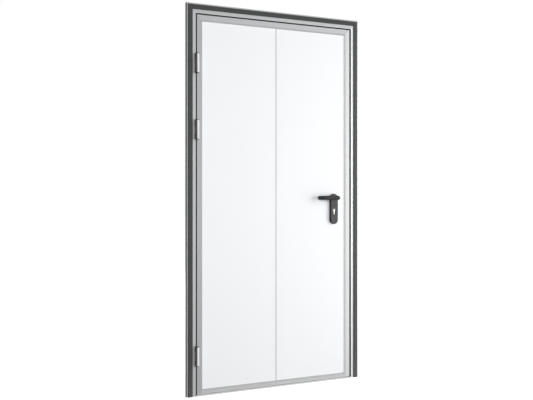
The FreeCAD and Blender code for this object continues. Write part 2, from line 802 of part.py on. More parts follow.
def hinge(position, middle):
    low = middle - barrel_length / 2
    high = middle + barrel_length / 2
    low_knuckle_top = low + d.hinge_knuckle
    high_knuckle_bottom = high - d.hinge_knuckle
    frame_half = []
    for name, start, end in (("low", low, low_knuckle_top), ("high", high_knuckle_bottom, high)):
        frame_half.append(rod(f"{position}_{name}_knuckle", hinge_x, hinge_y, start, d.hinge_radius, end - start))
        frame_half.append(box(f"{position}_{name}_foot", (hinge_x - d.hinge_radius, hinge_y, start),
                              (reveal_left, casing_front, end)))
    frame_half.append(rod(f"{position}_pin", hinge_x, hinge_y, low, d.pin_radius, high - low))
    frame_hinge = fused(f"{position}_frame_hinge", frame_half)
    sub_parts.append(frame_hinge)
    start = low_knuckle_top + d.hinge_running_gap
    end = high_knuckle_bottom - d.hinge_running_gap
    leaf_half = fused(f"{position}_leaf_half", [
        rod(f"{position}_leaf_knuckle", hinge_x, hinge_y, start, d.hinge_radius, end - start),
        box(f"{position}_leaf_foot", (leaf_left, hinge_y, start), (hinge_x + d.hinge_radius, casing_front, end)),
    ])
    cut(f"{position}_leaf_hinge", leaf_half, [
        rod(f"{position}_bore", hinge_x, hinge_y, low, d.pin_radius + d.pin_clearance, high - low)])
    caps.append(rod(f"{position}_low_cap", hinge_x, hinge_y, low - d.hinge_cap_height,
                    d.hinge_cap_radius, d.hinge_cap_height))
    caps.append(rod(f"{position}_high_cap", hinge_x, hinge_y, high, d.hinge_cap_radius, d.hinge_cap_height))


top_hinge_height = leaf_top - d.top_hinge_drop
for position, middle in (("top", top_hinge_height), ("middle", top_hinge_height - d.upper_hinge_pitch),
                         ("bottom", d.bottom_hinge_height)):
    hinge(position, middle)
group("hinge_caps", caps)

doc.recompute()
for item in doc.Objects:
    if "Invalid" in item.State or "Error" in item.State:
        raise RuntimeError(f"{item.Name} did not compute: {item.State}")
for sub_part in sub_parts:
    if sub_part.Shape.isNull() or not sub_part.Shape.isValid() or sub_part.Shape.Volume <= 0:
        raise RuntimeError(f"{sub_part.Label} has no valid shape")

os.makedirs("parts", exist_ok=True)
for sub_part in sub_parts:
    sub_part.Shape.exportStep(f"parts/{sub_part.Label}.step")
    print(f"{sub_part.Label}: {len(sub_part.Shape.Solids)} solid, {sub_part.Shape.Volume / 1e6:.3f} litres")
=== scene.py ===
"""Finishes, small fittings, light and camera for a steel utility door in its frame."""

import json
import logging
import math
from abc import ABC, abstractmethod
from dataclasses import dataclass, replace
from enum import Enum
from typing import Callable, Iterable

import bmesh
import bpy
from mathutils import Matrix, Vector


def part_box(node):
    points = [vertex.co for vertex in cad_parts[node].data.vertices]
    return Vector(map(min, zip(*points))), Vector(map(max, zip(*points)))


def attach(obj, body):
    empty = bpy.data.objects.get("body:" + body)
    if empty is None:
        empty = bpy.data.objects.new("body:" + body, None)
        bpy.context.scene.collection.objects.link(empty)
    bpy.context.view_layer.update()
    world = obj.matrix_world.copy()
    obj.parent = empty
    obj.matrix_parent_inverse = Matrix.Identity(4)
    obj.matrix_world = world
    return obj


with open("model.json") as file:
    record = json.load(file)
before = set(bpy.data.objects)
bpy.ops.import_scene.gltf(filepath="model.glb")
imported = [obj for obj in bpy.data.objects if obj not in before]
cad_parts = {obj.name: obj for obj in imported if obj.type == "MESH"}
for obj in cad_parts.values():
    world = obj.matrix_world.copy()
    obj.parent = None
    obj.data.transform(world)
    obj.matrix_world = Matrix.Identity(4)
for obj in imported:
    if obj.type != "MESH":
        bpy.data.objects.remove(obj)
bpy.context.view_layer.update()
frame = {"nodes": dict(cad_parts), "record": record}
LOG = logging.getLogger("utility_door")
MM = 0.001

Colour = tuple[float, float, float]
OpaqueColour = tuple[float, float, float, float]
Corner = tuple[float, float, float]

WHITE: OpaqueColour = (1.0, 1.0, 1.0, 1.0)
DUST_COLOUR: OpaqueColour = (0.42, 0.40, 0.37, 1.0)
# How much of the base colour the mottle leaves where it is darkest.
MOTTLE_SHADE = 0.72
# How far a face's normal leans to the left or right before it counts as a side face, which gets painted
# shade.
SIDE_FACE_LEAN = 0.7
# The normal's X where the painted shade on a turn to the left starts, and where it is darkest.
LEFT_TURN_START = -0.30
LEFT_TURN_END = -0.42
# How closely a normal follows a direction before its face counts as looking that way.
STRAIGHT = 0.99


class Direction(Enum):
    """The way a drawn section's grain runs, as the factors on the place that its noise reads."""

    UPRIGHT = (1.0, 1.0, 0.012)
    LEVEL = (0.012, 1.0, 1.0)
    NONE = (1.0, 1.0, 1.0)


class Slot(Enum):
    """The record's material slots."""

    PANEL = "panel"
    ALUMINIUM = "aluminium"
    COVER = "cover"
    RUBBER = "rubber"
    NYLON = "nylon"
    HINGE = "hinge"
    NICKEL = "nickel"
    STEEL = "steel"


class Body(Enum):
    """The bodies that new pieces ride on."""

    FRAME = "frame"
    LEAF = "leaf"


class ShaderBench:
    """Adds and joins nodes in one node tree.

    Attributes:
        MIX_INPUTS: the mix node's sockets for its share and its two colours.
        MIX_OUTPUT: the mix node's socket for the mixed colour.
    """

    MIX_INPUTS = (0, 6, 7)
    MIX_OUTPUT = 2

    def __init__(self, tree: bpy.types.NodeTree) -> None:
        """Keeps the tree that nodes are added to."""
        self.tree = tree

    def add(self, kind: str, **settings: object) -> bpy.types.Node:
        """Adds a node and sets its properties.

        Args:
            kind: the node's type, such as ShaderNodeBump.
            settings: its properties by name.

        Returns:
            The new node.
        """
        node = self.tree.nodes.new(kind)
        for name, value in settings.items():
            setattr(node, name, value)
        return node

    def plug(self, socket: bpy.types.NodeSocket, value: object) -> None:
        """Links an output to an input, or sets the input to a plain value.

        Args:
            socket: the input.
            value: an output socket, a number, a colour or a vector.
        """
        if isinstance(value, bpy.types.NodeSocket):
            self.tree.links.new(value, socket)
        else:
            socket.default_value = value

    def feed(self, node: bpy.types.Node, **inputs: object) -> bpy.types.Node:
        """Sets or links a node's inputs. An underscore in a name stands for a space.

        Args:
            node: the node to feed.
            inputs: numbers, colours or output sockets, by input name.

        Returns:
            The same node.
        """
        for name, value in inputs.items():
            self.plug(node.inputs[name.replace("_", " ")], value)
        return node

    def group(self, tree: bpy.types.NodeTree, **inputs: object) -> bpy.types.Node:
        """Places a shared group, feeds its inputs and returns its node."""
        return self.feed(self.add("ShaderNodeGroup", node_tree=tree), **inputs)

    def maths(self, operation: str, first: object, second: object) -> bpy.types.NodeSocket:
        """Adds a maths node.

        Args:
            operation: what it works out, such as MULTIPLY.
            first: its first number or socket.
            second: its second number or socket.

        Returns:
            Its output.
        """
        node = self.add("ShaderNodeMath", operation=operation)
        for socket, value in zip(node.inputs, (first, second)):
            self.plug(socket, value)
        return node.outputs[0]

    def spread(self, value: object, low: object, high: object) -> bpy.types.NodeSocket:
        """Maps a value from 0 to 1 onto another range.

        Args:
            value: the value's socket.
            low: what 0 becomes.
            high: what 1 becomes.

        Returns:
            The output.
        """
        node = self.add("ShaderNodeMapRange")
        self.feed(node, Value=value, To_Min=low, To_Max=high)
        return node.outputs["Result"]

    def mix(self, share: object, first: object, second: object, blend: str = "MIX") -> bpy.types.NodeSocket:
        """Mixes two colours.

        Args:
            share: how much of the second one is laid over the first.
            first: the colour below.
            second: the colour above.
            blend: how they are mixed, such as MIX or MULTIPLY.

        Returns:
            The mixed colour's socket.
        """
        node = self.add("ShaderNodeMix", data_type="RGBA", blend_type=blend)
        for index, value in zip(self.MIX_INPUTS, (share, first, second)):
            self.plug(node.inputs[index], value)
        return node.outputs[self.MIX_OUTPUT]

    def place(self) -> bpy.types.NodeSocket:
        """Returns the surface's place on the object."""
        return self.add("ShaderNodeTexCoord").outputs["Object"]

    def rightward_turn(self) -> bpy.types.NodeSocket:
        """Reads how far the surface turns to the right.

        Returns:
            The socket of the normal's X, from -1 to 1.
        """
        parts = self.add("ShaderNodeSeparateXYZ")
        self.plug(parts.inputs[0], self.add("ShaderNodeTexCoord").outputs["Normal"])
        return parts.outputs["X"]


class EffectGroups:
    """The shared surface effects, each built once as a shader node group.

    Attributes:
        GRAIN_ROUGHNESS: how strong the grain noise's finer octaves are.
        MOTTLE_SCALE: how fine the slow mottle is, in cycles over a metre.
        MOTTLE_DETAIL: the mottle noise's octaves.
        SPECK_SCALE: how fine the dust's specks are, in cycles over a metre.
        SPECK_DETAIL: the speck noise's octaves.
        EDGE_SAMPLES: how many rays look for an edge to ease.
    """

    GRAIN_ROUGHNESS = 0.6
    MOTTLE_SCALE = 2.6
    MOTTLE_DETAIL = 2.0
    SPECK_SCALE = 24.0
    SPECK_DETAIL = 5.0
    EDGE_SAMPLES = 4

    def __init__(self) -> None:
        """Builds the groups."""
        self.grain = self._grain()
        self.mottle = self._mottle()
        self.foot_dust = self._foot_dust()
        self.eased = self._eased()

    @staticmethod
    def _group(name: str, inputs: Iterable[tuple[str, str, object]],
               output: tuple[str, str]) -> tuple[ShaderBench, bpy.types.Node, bpy.types.NodeSocket]:
        """Starts a group with named sockets.

        Args:
            name: the group's name.
            inputs: name, socket type and default of each input.
            output: name and socket type of the output.

        Returns:
            The group's bench, its input node and its output's socket.
        """
        tree = bpy.data.node_groups.new(name, "ShaderNodeTree")
        for label, kind, default in inputs:
            tree.interface.new_socket(label, in_out="INPUT", socket_type=kind).default_value = default
        tree.interface.new_socket(output[0], in_out="OUTPUT", socket_type=output[1])
        bench = ShaderBench(tree)
        return bench, bench.add("NodeGroupInput"), bench.add("NodeGroupOutput").inputs[output[0]]

    def _grain(self) -> bpy.types.NodeTree:
        """Makes fine streaks or specks: noise on object coordinates, stretched along the grain.

        Returns:
            The group.
        """
        bench, source, sink = self._group(
            "Fine grain",
            [("Stretch", "NodeSocketVector", Direction.NONE.value), ("Scale", "NodeSocketFloat", 900.0),
             ("Detail", "NodeSocketFloat", 3.0)],
            ("Value", "NodeSocketFloat"))
        stretched = bench.add("ShaderNodeVectorMath", operation="MULTIPLY")
        bench.plug(stretched.inputs[0], bench.place())
        bench.plug(stretched.inputs[1], source.outputs["Stretch"])
        noise = bench.add("ShaderNodeTexNoise")
        bench.feed(noise, Vector=stretched.outputs[0], Scale=source.outputs["Scale"],
                   Detail=source.outputs["Detail"], Roughness=self.GRAIN_ROUGHNESS)
        bench.plug(sink, noise.outputs["Fac"])
        return bench.tree

    def _mottle(self) -> bpy.types.NodeTree:
        """Makes slow changes of tone over the length of a piece.

        Returns:
            The group.
        """
        bench, _, sink = self._group("Slow mottle", [], ("Value", "NodeSocketFloat"))
        noise = bench.add("ShaderNodeTexNoise")
        bench.feed(noise, Vector=bench.place(), Scale=self.MOTTLE_SCALE, Detail=self.MOTTLE_DETAIL)
        bench.plug(sink, noise.outputs["Fac"])
        return bench.tree

    def _foot_dust(self) -> bpy.types.NodeTree:
        """Makes a mask of light dust near the floor, broken up by noise.

        Returns:
            The group.
        """
        bench, source, sink = self._group(
            "Foot dust", [("Height", "NodeSocketFloat", 0.18), ("Amount", "NodeSocketFloat", 0.2)],
            ("Mask", "NodeSocketFloat"))
        place = bench.place()
        parts = bench.add("ShaderNodeSeparateXYZ")
        bench.plug(parts.inputs[0], place)
        falling = bench.add("ShaderNodeMapRange")
        bench.feed(falling, Value=parts.outputs["Z"], From_Min=0.0, From_Max=source.outputs["Height"],
                   To_Min=1.0, To_Max=0.0)
        noise = bench.add("ShaderNodeTexNoise")
        bench.feed(noise, Vector=place, Scale=self.SPECK_SCALE, Detail=self.SPECK_DETAIL)
        speckled = bench.maths("MULTIPLY", falling.outputs["Result"], noise.outputs["Fac"])
        bench.plug(sink, bench.maths("MULTIPLY", speckled, source.outputs["Amount"]))
        return bench.tree

    def _eased(self) -> bpy.types.NodeTree:
        """Makes a normal that eases sharp edges, with fine relief on top of it.

        Returns:
            The group.
        """
        bench, source, sink = self._group(
            "Eased edges",
            [("Radius", "NodeSocketFloat", 0.0006), ("Relief", "NodeSocketFloat", 0.0),
             ("Depth", "NodeSocketFloat", 0.00002)],
            ("Normal", "NodeSocketVector"))
        bevel = bench.add("ShaderNodeBevel", samples=self.EDGE_SAMPLES)
        bench.feed(bevel, Radius=source.outputs["Radius"])
        bump = bench.add("ShaderNodeBump")
        bench.feed(bump, Height=source.outputs["Relief"], Distance=source.outputs["Depth"],
                   Normal=bevel.outputs["Normal"])
        bench.plug(sink, bump.outputs["Normal"])
        return bench.tree


@dataclass(frozen=True)
class Finish:
    """One surface finish: its colour, sheen, grain, relief and wear, and the shade painted on faces turned
    aside.

    Attributes:
        name: the material's name.
        slot: the record's material slot that it belongs to.
        colour: linear base colour.
        roughness: middle roughness.
        metallic: 1 for bare metal, 0 for paint, rubber and plastic.
        direction: the way the grain runs.
        grain_scale: how fine the grain is, in cycles over a metre.
        grain_depth: height of the grain's relief in metres.
        tone: how much the grain changes the colour.
        sheen_change: how much the grain changes the roughness.
        mottle: how much the slow mottle changes the colour.
        dust: the most dust near the floor.
        gloss: strength of the surface's reflection, 0.5 for common paint.
        edge: radius that eases the edges, in metres.
        painted_side_shade: how much of the colour is left on faces turned to the left or right.
        painted_left_shade: how much of the colour is left where a surface turns to the left.
    """

    name: str
    slot: Slot
    colour: Colour
    roughness: float
    metallic: float = 0.0
    direction: Direction = Direction.NONE
    grain_scale: float = 900.0
    grain_depth: float = 0.00001
    tone: float = 0.04
    sheen_change: float = 0.08
    mottle: float = 0.03
    dust: float = 0.12
    gloss: float = 0.5
    edge: float = 0.0006
    # Painted shade: the share of colour left on faces turned to the left or right.
    painted_side_shade: float = 1.0
    # Painted shade: the share of colour left where a surface turns to the left.
    painted_left_shade: float = 1.0

    def shade(self, factor: float) -> OpaqueColour:
        """Returns the base colour made lighter or darker by a factor."""
        red, green, blue = (min(1.0, part * factor) for part in self.colour)
        return red, green, blue, 1.0

    def build(self, groups: EffectGroups) -> bpy.types.Material:
        """Makes the material.

        Args:
            groups: the shared effects.

        Returns:
            The finished material.
        """
        material = bpy.data.materials.new(self.name)
        material.use_nodes = True
        bench = ShaderBench(material.node_tree)
        surface = material.node_tree.nodes["Principled BSDF"]
        streaks = bench.group(groups.grain, Stretch=self.direction.value, Scale=self.grain_scale)
        grain = streaks.outputs["Value"]
        sheen = bench.spread(grain, self.roughness - self.sheen_change, self.roughness + self.sheen_change)
        eased = bench.group(groups.eased, Radius=self.edge, Relief=grain, Depth=self.grain_depth)
        colour = self._worn_colour(bench, groups, grain)
        metallic: object = self.metallic
        # Painted shade: faces turned to the left or right are darkened and lose their metal.
        if self.painted_side_shade < 1.0:
            side = self._painted_shade_side_mask(bench)
            colour = self._with_painted_shade(bench, colour, side, self.painted_side_shade)
            metallic = bench.spread(side, self.metallic, 0.0)
        # Painted shade: surfaces turned to the left are darkened.
        if self.painted_left_shade < 1.0:
            colour = self._with_painted_shade(bench, colour, self._painted_shade_left_mask(bench), self.painted_left_shade)
        bench.feed(surface, Base_Color=colour, Roughness=sheen, Normal=eased.outputs["Normal"],
                   Metallic=metallic, Specular_IOR_Level=self.gloss)
        return material

    def _worn_colour(self, bench: ShaderBench, groups: EffectGroups,
                     grain: bpy.types.NodeSocket) -> bpy.types.NodeSocket:
        """Lays the grain, the slow mottle and the foot dust over the base colour.

        Args:
            bench: the material's bench.
            groups: the shared effects.
            grain: the grain's value.

        Returns:
            The colour's socket.
        """
        mottle = bench.group(groups.mottle).outputs["Value"]
        dust = bench.group(groups.foot_dust, Amount=self.dust).outputs["Mask"]
        toned = bench.mix(grain, self.shade(1 - self.tone), self.shade(1 + self.tone))
        patches = bench.maths("MULTIPLY", mottle, self.mottle * 2)
        mottled = bench.mix(patches, toned, self.shade(MOTTLE_SHADE))
        return bench.mix(dust, mottled, DUST_COLOUR)

    @staticmethod
    def _painted_shade_side_mask(bench: ShaderBench) -> bpy.types.NodeSocket:
        """Returns 1 on faces that are turned to the left or right, where shade is painted, and 0 on the
        others.
        """
        turned = bench.maths("ABSOLUTE", bench.rightward_turn(), 0.0)
        return bench.maths("GREATER_THAN", turned, SIDE_FACE_LEAN)

    @staticmethod
    def _painted_shade_left_mask(bench: ShaderBench) -> bpy.types.NodeSocket:
        """Finds where the surface turns to the left, where shade is painted.

        Args:
            bench: the material's bench.

        Returns:
            The socket of a mask that is 1 there and 0 elsewhere, with a soft edge.
        """
        turned = bench.add("ShaderNodeMapRange")
        bench.feed(turned, Value=bench.rightward_turn(), From_Min=LEFT_TURN_START, From_Max=LEFT_TURN_END,
                   To_Min=0.0, To_Max=1.0)
        return turned.outputs["Result"]

    @staticmethod
    def _with_painted_shade(bench: ShaderBench, colour: bpy.types.NodeSocket, mask: bpy.types.NodeSocket,
                  tone: float) -> bpy.types.NodeSocket:
        """Returns the colour multiplied by a tone where the mask is 1, which paints shade there."""
        return bench.mix(mask, colour, (tone, tone, tone, 1.0), blend="MULTIPLY")


WHITE_SHEET = Finish(
    "White_coated_steel", Slot.PANEL, (0.846, 0.860, 0.873), roughness=0.48, grain_scale=420.0,
    grain_depth=0.000012, tone=0.006, sheen_change=0.04, mottle=0.01, dust=0.05, gloss=0.35)
UPRIGHT_ALUMINIUM = Finish(
    "Anodised_aluminium_upright", Slot.ALUMINIUM, (0.35, 0.355, 0.36), roughness=0.44, metallic=0.43,
    direction=Direction.UPRIGHT, grain_scale=1400.0, grain_depth=0.000008, tone=0.05, sheen_change=0.07,
    mottle=0.03, dust=0.1)
LEVEL_ALUMINIUM = replace(UPRIGHT_ALUMINIUM, name="Anodised_aluminium_level", direction=Direction.LEVEL)
# The hinge-side casing's copy of the upright aluminium: its colour is set lighter as painted light, and its
# side faces carry painted shade.
CASING_ALUMINIUM_PAINTED_LIGHT_AND_SHADE = replace(
    UPRIGHT_ALUMINIUM, name="Anodised_aluminium_casing_painted_light_and_shade", colour=(0.375, 0.38, 0.385), gloss=0.2,
    painted_side_shade=0.05)
# The lock-side casing's copy of the same aluminium, set lighter: painted light.
LIT_LOCK_SIDE_CASING = replace(UPRIGHT_ALUMINIUM, name="Anodised_aluminium_lit_casing", colour=(0.55, 0.555, 0.56))
# The hinge stile's copy of the same aluminium, set darker: painted shade.
SHADED_HINGE_STILE_ALUMINIUM = replace(
    UPRIGHT_ALUMINIUM, name="Anodised_aluminium_shaded_stile", colour=(0.308, 0.313, 0.318))
# The lock stile's copy of the same aluminium, set lighter as painted light, and made rougher.
LIT_LOCK_STILE_ALUMINIUM = replace(
    UPRIGHT_ALUMINIUM, name="Anodised_aluminium_lit_lock_stile", colour=(0.495, 0.50, 0.505), roughness=0.56,
    metallic=0.36)
# The threshold's copy of the level aluminium, set lighter: painted light that lifts the shade on its tread.
LIT_SILL_ALUMINIUM = replace(LEVEL_ALUMINIUM, name="Aluminium_lit_sill", colour=(0.62, 0.625, 0.63))
# The bottom rail's copy of the level aluminium, set lighter: painted light.
LIT_FOOT_ALUMINIUM = replace(LEVEL_ALUMINIUM, name="Anodised_aluminium_lit_foot", colour=(0.40, 0.405, 0.41))
# The cover's powder coat; its surfaces turned to the left get painted shade.
ANTHRACITE = Finish(
    "Anthracite_powder_coat", Slot.COVER, (0.038, 0.039, 0.040), roughness=0.60, grain_scale=1300.0,
    grain_depth=0.00002, tone=0.05, sheen_change=0.06, mottle=0.03, gloss=0.25, painted_left_shade=0.4)
LIT_ANTHRACITE = replace(ANTHRACITE, name="Anthracite_powder_coat_lit", colour=(0.052, 0.053, 0.054))
BLACK_RUBBER = Finish(
    "Black_rubber", Slot.RUBBER, (0.010, 0.010, 0.010), roughness=0.75, grain_scale=1600.0,
    grain_depth=0.00003, tone=0.12, dust=0.05, gloss=0.15)
# The foot sweep's rubber: a pale grey, set lighter still as painted light over the shade under the leaf.
LIT_PALE_RUBBER = Finish(
    "Pale_grey_rubber_lit", Slot.RUBBER, (0.58, 0.58, 0.58), roughness=0.6, grain_scale=1600.0,
    grain_depth=0.00002, tone=0.05, dust=0.2)
# Black nylon; its surfaces turned to the left get painted shade.
BLACK_NYLON = Finish(
    "Black_nylon", Slot.NYLON, (0.068, 0.068, 0.070), roughness=0.40, grain_scale=2400.0,
    grain_depth=0.00002, tone=0.1, sheen_change=0.07, gloss=0.12, painted_left_shade=0.2)
# The levers' copy of the black nylon, set darker as painted shade, and glossier and smoother.
SHADED_LEVER_NYLON = replace(
    BLACK_NYLON, name="Black_nylon_shaded_lever", colour=(0.008, 0.008, 0.0085), roughness=0.28, gloss=0.25)
# Light grey hinge paint; its surfaces turned to the left get painted shade.
HINGE_PAINT = Finish(
    "Hinge_light_grey_paint", Slot.HINGE, (0.80, 0.80, 0.80), roughness=0.45, grain_scale=1200.0,
    grain_depth=0.000012, tone=0.02, gloss=0.2, painted_left_shade=0.12)
SATIN_NICKEL = Finish(
    "Satin_nickel", Slot.NICKEL, (0.50, 0.495, 0.485), roughness=0.48, metallic=1.0,
    direction=Direction.LEVEL, grain_scale=1800.0, grain_depth=0.000005, tone=0.05)
ZINC_STEEL = Finish(
    "Zinc_plated_steel", Slot.STEEL, (0.55, 0.55, 0.56), roughness=0.36, metallic=1.0,
    direction=Direction.UPRIGHT, grain_depth=0.000008, tone=0.06)

SLOT_FINISH: dict[Slot, Finish] = {
    Slot.PANEL: WHITE_SHEET,
    Slot.ALUMINIUM: UPRIGHT_ALUMINIUM,
    Slot.COVER: ANTHRACITE,
    Slot.RUBBER: BLACK_RUBBER,
    Slot.NYLON: BLACK_NYLON,
    Slot.HINGE: HINGE_PAINT,
    Slot.NICKEL: SATIN_NICKEL,
    Slot.STEEL: ZINC_STEEL,
}
NODE_FINISH: dict[str, Finish] = {
    "head_casing": LEVEL_ALUMINIUM,
    "frame_head": LEVEL_ALUMINIUM,
    "head_stop": LEVEL_ALUMINIUM,
    "top_rail": LEVEL_ALUMINIUM,
    "bottom_rail": LIT_FOOT_ALUMINIUM,
    "threshold": LIT_SILL_ALUMINIUM,
    "hinge_side_casing": CASING_ALUMINIUM_PAINTED_LIGHT_AND_SHADE,
    "lock_side_casing": LIT_LOCK_SIDE_CASING,
    "hinge_stile": SHADED_HINGE_STILE_ALUMINIUM,
    "lock_stile": LIT_LOCK_STILE_ALUMINIUM,
    "lock_side_cover": LIT_ANTHRACITE,
    "front_lever": SHADED_LEVER_NYLON,
    "back_lever": SHADED_LEVER_NYLON,
}


class Wardrobe:
    """Keeps the built materials and puts them on pieces."""

    def __init__(self) -> None:
        """Builds the shared effects."""
        self.groups = EffectGroups()
        self.built: dict[str, bpy.types.Material] = {}

    def material(self, finish: Finish) -> bpy.types.Material:
        """Finds a finish's material, which is built at its first use.

        Args:
            finish: the finish.

        Returns:
            Its material.
        """
        if finish.name not in self.built:
            self.built[finish.name] = finish.build(self.groups)
        return self.built[finish.name]

    def dress(self, piece: bpy.types.Object, finish: Finish) -> None:
        """Gives a piece one finish all over.

        Args:
            piece: the piece to dress.
            finish: its finish.
        """
        piece.data.materials.clear()
        piece.data.materials.append(self.material(finish))

    def fit_out(self, piece: bpy.types.Object, finish: Finish, body: Body) -> bpy.types.Object:
        """Dresses a new piece and lets it ride on a body.

        Args:
            piece: the new piece.
            finish: its finish.
            body: the body that carries it.

        Returns:
            The same piece.
        """
        self.dress(piece, finish)
        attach(piece, body.value)
        return piece

    def dress_cad_nodes(self) -> None:
        """Gives each carried-over node its own finish, or else the finish of its slot."""
        slots = {row["node"]: Slot(row["material_slot"]) for row in frame["record"]["subparts"]}
        for name, node in frame["nodes"].items():
            finish = NODE_FINISH.get(name, SLOT_FINISH[slots[name]])
            self.dress(node, finish)
            LOG.info("dressed %s as %s", name, finish.name)


class Facing(Enum):
    """A way that a face or a fitting looks."""

    HINGE_SIDE = (-1.0, 0.0, 0.0)
    LOCK_SIDE = (1.0, 0.0, 0.0)
    FRONT = (0.0, -1.0, 0.0)
    BACK = (0.0, 1.0, 0.0)
    UP = (0.0, 0.0, 1.0)
    DOWN = (0.0, 0.0, -1.0)

    def turn(self) -> Matrix:
        """Returns the rotation that takes +Z to this direction."""
        return Vector(Facing.UP.value).rotation_difference(Vector(self.value)).to_matrix().to_4x4()


FaceTest = Callable[[Vector, Vector], bool]


def faces_towards(way: Facing, within: float = math.inf) -> FaceTest:
    """Makes a test for faces by the way that they look.

    Args:
        way: the way that they look.
        within: how far from the Z axis their centres may be, in metres.

    Returns:
        The test, of a face's centre and normal.
    """
    def test(centre: Vector, normal: Vector) -> bool:
        """Tells whether a face looks that way, near enough to the axis."""
        return normal.dot(Vector(way.value)) > STRAIGHT and math.hypot(centre.x, centre.y) < within

    return test


class Workpiece:
    """A new mesh that is shaped in edit mode. All its sizes are in metres, its place is in its mesh.

    Attributes:
        BEVEL_ANGLE: edges sharper than this are softened, in degrees.
        SMOOTH_ANGLE: faces that meet at less than this are shaded smooth, in degrees.
    """

    BEVEL_ANGLE = 40.0
    SMOOTH_ANGLE = 32.0

    def __init__(self, name: str) -> None:
        """Takes the primitive that was just added as the piece and applies its place.

        Args:
            name: the piece's name.
        """
        self.shape = bpy.context.object
        self.shape.name = name
        bpy.ops.object.transform_apply(location=True, rotation=True, scale=True)

    @classmethod
    def block(cls, name: str, low: Corner, high: Corner) -> "Workpiece":
        """Starts from a cube.

        Args:
            name: the piece's name.
            low: its lowest corner.
            high: its highest corner.

        Returns:
            The workpiece.
        """
        bpy.ops.object.select_all(action="DESELECT")
        middle = [(first + last) / 2 for first, last in zip(low, high)]
        size = [last - first for first, last in zip(low, high)]
        bpy.ops.mesh.primitive_cube_add(size=1.0, location=middle, scale=size)
        return cls(name)

    @classmethod
    def disc(cls, name: str, radius: float, depth: float, corners: int) -> "Workpiece":
        """Starts from a cylinder that rises from z = -depth to z = 0.

        Args:
            name: the piece's name.
            radius: its radius.
            depth: its height.
            corners: how many sides it has.

        Returns:
            The workpiece.
        """
        bpy.ops.object.select_all(action="DESELECT")
        bpy.ops.mesh.primitive_cylinder_add(vertices=corners, radius=radius, depth=depth,
                                            location=(0.0, 0.0, -depth / 2))
        return cls(name)

    def edit(self, test: FaceTest, step: Callable[[], object]) -> "Workpiece":
        """Selects faces and runs an operator on them in edit mode.

        Args:
            test: says from a face's centre and normal whether it is selected.
            step: the operator to run.

        Returns:
            This workpiece.
        """
        bpy.context.view_layer.objects.active = self.shape
        bpy.ops.object.mode_set(mode="EDIT")
        bpy.ops.mesh.select_mode(type="FACE")
        bpy.ops.mesh.select_all(action="DESELECT")
        mesh = bmesh.from_edit_mesh(self.shape.data)
        for face in mesh.faces:
            face.select_set(test(face.calc_center_median(), face.normal))
        bmesh.update_edit_mesh(self.shape.data)
        step()
        bpy.ops.object.mode_set(mode="OBJECT")
        return self

    def inset(self, test: FaceTest, thickness: float, depth: float = 0.0) -> "Workpiece":
        """Moves the tested faces' rims in by a thickness, raises the faces and returns this workpiece."""
        return self.edit(test, lambda: bpy.ops.mesh.inset(thickness=thickness, depth=depth))

    def soften(self, width: float, segments: int = 2) -> "Workpiece":
        """Rounds the sharp edges and applies the modifier.

        Args:
            width: the rounding's width.
            segments: how many steps it has.

        Returns:
            This workpiece.
        """
        bevel = self.shape.modifiers.new("Softened", "BEVEL")
        bevel.width = width
        bevel.segments = segments
        bevel.limit_method = "ANGLE"
        bevel.angle_limit = math.radians(self.BEVEL_ANGLE)
        bpy.ops.object.modifier_apply(modifier=bevel.name)
        return self

    def finished(self) -> bpy.types.Object:
        """Shades the piece smooth except at its edges, and returns its object."""
        bpy.ops.object.shade_smooth_by_angle(angle=math.radians(self.SMOOTH_ANGLE))
        return self.shape


class SubAssembly(ABC):
    """A group of small pieces that are modelled and dressed together."""

    @abstractmethod
    def build(self, wardrobe: Wardrobe) -> list[bpy.types.Object]:
        """Makes the pieces, dresses them from the wardrobe and returns them."""


@dataclass(frozen=True)
class Seat:
    """Where a copy of a fitting goes.

    Attributes:
        name: the copy's name.
        place: the middle of its outer face, in millimetres.
        facing: the way that its outer face looks.
        body: the body that it rides on.
    """

    name: str
    place: Corner
    facing: Facing
    body: Body


